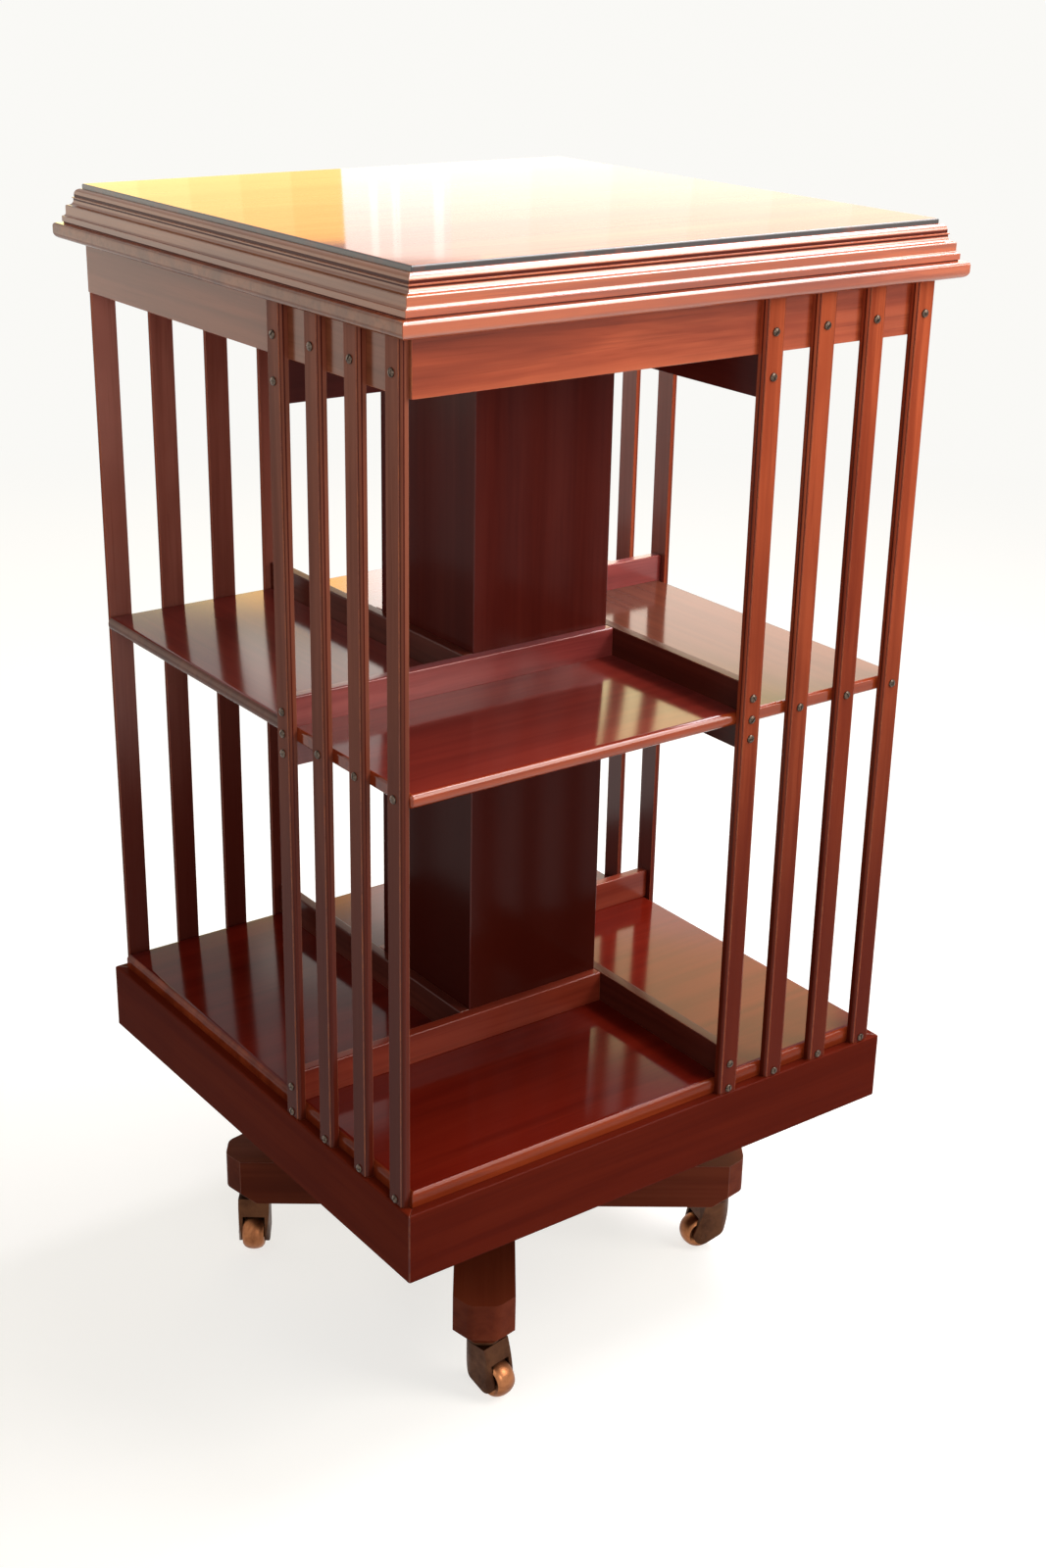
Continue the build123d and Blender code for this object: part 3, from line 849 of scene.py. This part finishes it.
# Floor: half its width and the distances between which it melts into the background, in metres; its own
# colour and roughness; and the share of the background's light that is added to it
floor_half = 9.0
floor_near = 0.7
floor_far = 3.2
floor_colour = rgb(0.42, 0.412, 0.40)
floor_roughness = 0.9
floor_lift = 0.74


def pale_floor():
    """Floor that keeps the bookcase's shadow and melts into the background further out."""
    graph = Graph("pale_floor")
    graph.set(Base_Color=floor_colour, Roughness=floor_roughness, Specular_IOR_Level=0.0)
    seen = seen_rays(graph.tree)
    lift = graph.node("ShaderNodeEmission", {"Color": background_colour})
    graph.feed(lift.inputs["Strength"], graph.math("MULTIPLY", seen, floor_lift))
    lifted = graph.node("ShaderNodeAddShader")
    graph.feed(lifted.inputs[0], graph.shader.outputs["BSDF"])
    graph.feed(lifted.inputs[1], lift.outputs["Emission"])
    distance = graph.node("ShaderNodeVectorMath", {0: graph.coordinates()}, operation="LENGTH")
    away = graph.remap(distance.outputs["Value"], floor_near, floor_far)
    glow = graph.node("ShaderNodeEmission", {"Color": background_colour})
    melt = graph.node("ShaderNodeMixShader", {"Fac": graph.math("MULTIPLY", away, seen)})
    graph.feed(melt.inputs[1], lifted.outputs["Shader"])
    graph.feed(melt.inputs[2], glow.outputs["Emission"])
    graph.feed(graph.tree.nodes["Material Output"].inputs["Surface"], melt.outputs["Shader"])
    return graph.material


def make_floor():
    """Square pale floor under the bookcase."""
    mesh = bpy.data.meshes.new("floor")
    corners = [(-floor_half, -floor_half, 0), (floor_half, -floor_half, 0)]
    corners += [(floor_half, floor_half, 0), (-floor_half, floor_half, 0)]
    mesh.from_pydata(corners, [], [(0, 1, 2, 3)])
    floor = link("floor", mesh, [pale_floor()])


def area_light(name, place, target, width, height, radiance, colour):
    """Softbox at a place, turned to a target, as bright as its radiance says."""
    data = bpy.data.lights.new(name, "AREA")
    data.shape = "RECTANGLE"
    data.size = width
    data.size_y = height
    data.energy = radiance * math.pi * width * height
    data.color = colour
    lamp = bpy.data.objects.new(name, data)
    bpy.context.scene.collection.objects.link(lamp)
    lamp.location = place
    lamp.rotation_mode = "QUATERNION"
    lamp.rotation_quaternion = (Vector(target) - Vector(place)).to_track_quat("-Z", "Y")
    lamp.visible_camera = False


# Softboxes round the bookcase: place, target, width and height in metres, radiance and colour
softboxes = {
    "key_light": ((1.1, -1.5, 1.75), (0, 0, 0.8), 1.0, 1.3, 8.5, (1.0, 0.95, 0.88)),
    "over_light": ((1.2, -0.15, 2.35), (0, 0, 0.9), 1.7, 0.9, 15.0, (0.98, 0.95, 1.0)),
    "front_light": ((-0.7, -2.3, 1.2), (0, 0, 0.7), 0.8, 0.8, 5.5, (1.0, 0.95, 0.90)),
    "fill_light": ((-1.9, -0.5, 1.8), (0, 0, 0.75), 1.0, 1.0, 1.2, (1.0, 0.95, 0.90)),
    "side_light": ((-1.2, 2.7, 0.95), (-0.2, 0, 0.9), 2.0, 1.7, 1.1, (1.0, 0.86, 0.68)),
}

# Cards behind the bookcase that its polish mirrors, all at one distance from the spindle: first and last
# direction in degrees, lowest and highest point in metres, radiance and colour
card_reach = 3.25
plain_cards = (
    ("streak_left", 59.6, 59.3, 1.0, 1.7, 0.7, (1.0, 0.98, 0.96)),
    ("streak_middle", 58.7, 58.4, 1.0, 1.7, 0.7, (1.0, 0.98, 0.96)),
    ("streak_right", 57.0, 56.6, 1.0, 1.7, 0.7, (1.0, 0.98, 0.96)),
    ("panel", 60.7, 56.3, 1.0, 1.7, 3.3, (1.0, 0.86, 0.77)),
    ("upper_left", 66.0, 55.0, 1.7, 1.95, 1.2, (1.0, 0.88, 0.76)),
    ("upper_right", 55.0, 36.0, 1.7, 2.3, 2.5, (1.0, 0.86, 0.30)),
)

# Cards whose light changes from one side to the other: directions and heights as above, and then the
# radiance and colour at the first side and at the last
graded_cards = (
    ("yellow", 79.0, 60.7, 1.0, 1.6, (3.5, (1.0, 0.95, 0.30)), (3.5, (1.0, 0.46, 0.0))),
    ("peach", 56.3, 27.0, 1.0, 1.7, (3.3, (1.0, 0.86, 0.72)), (2.6, (1.0, 0.70, 0.46))),
)
grade_steps = 9


def graded_steps():
    """Rows like those of the plain cards, several to each graded card."""
    rows = []
    for name, start, end, low, high, first, last in graded_cards:
        span = (end - start) / grade_steps
        for step in range(grade_steps):
            share = step / (grade_steps - 1)
            radiance = first[0] + (last[0] - first[0]) * share
            colour = tuple(Vector(first[1]).lerp(Vector(last[1]), share))
            side = start + span * step
            rows.append((name + "_" + str(step), side, side + span, low, high, radiance, colour))
    return rows


def card_light(name, start, end, low, high, radiance, colour):
    """One card behind the bookcase, square to the spindle."""
    middle = math.radians((start + end) / 2)
    width = 2 * card_reach * math.tan(math.radians(abs(end - start) / 2))
    height = (low + high) / 2
    place = (card_reach * math.cos(middle), card_reach * math.sin(middle), height)
    area_light("back_light_" + name, place, (0, 0, height), width, high - low, radiance, colour)


def make_lights():
    """Soft studio light: a high key in front, a sheet above at the right, weaker fills and the cards."""
    for name, settings in softboxes.items():
        area_light(name, *settings)
    for row in (*graded_steps(), *plain_cards):
        card_light(*row)


def make_camera():
    """Camera at the photograph's place and angle, framed as the photograph is."""
    data = bpy.data.cameras.new("camera")
    data.sensor_width = sensor_width
    data.lens = focal_pixels * sensor_width / photo_height
    data.shift_x = (photo_width / 2 - principal_x) / photo_height
    data.shift_y = (principal_y - photo_height / 2) / photo_height
    right = Vector((math.cos(camera_azimuth), math.sin(camera_azimuth), 0))
    level = Vector((math.sin(camera_azimuth), -math.cos(camera_azimuth), 0))
    back = level * math.cos(camera_elevation) + Vector((0, 0, math.sin(camera_elevation)))
    up = back.cross(right)
    rolled_right = right * math.cos(camera_roll) + up * math.sin(camera_roll)
    rolled_up = up * math.cos(camera_roll) - right * math.sin(camera_roll)
    turn = Matrix((rolled_right, rolled_up, back)).transposed().to_4x4()
    camera = bpy.data.objects.new("camera", data)
    bpy.context.scene.collection.objects.link(camera)
    camera.matrix_world = Matrix.Translation(camera_place) @ turn
    bpy.context.scene.camera = camera


dress_wood()
dress_metal()
make_world()
make_floor()
make_lights()
make_camera()
bpy.context.scene.view_settings.view_transform = "Standard"
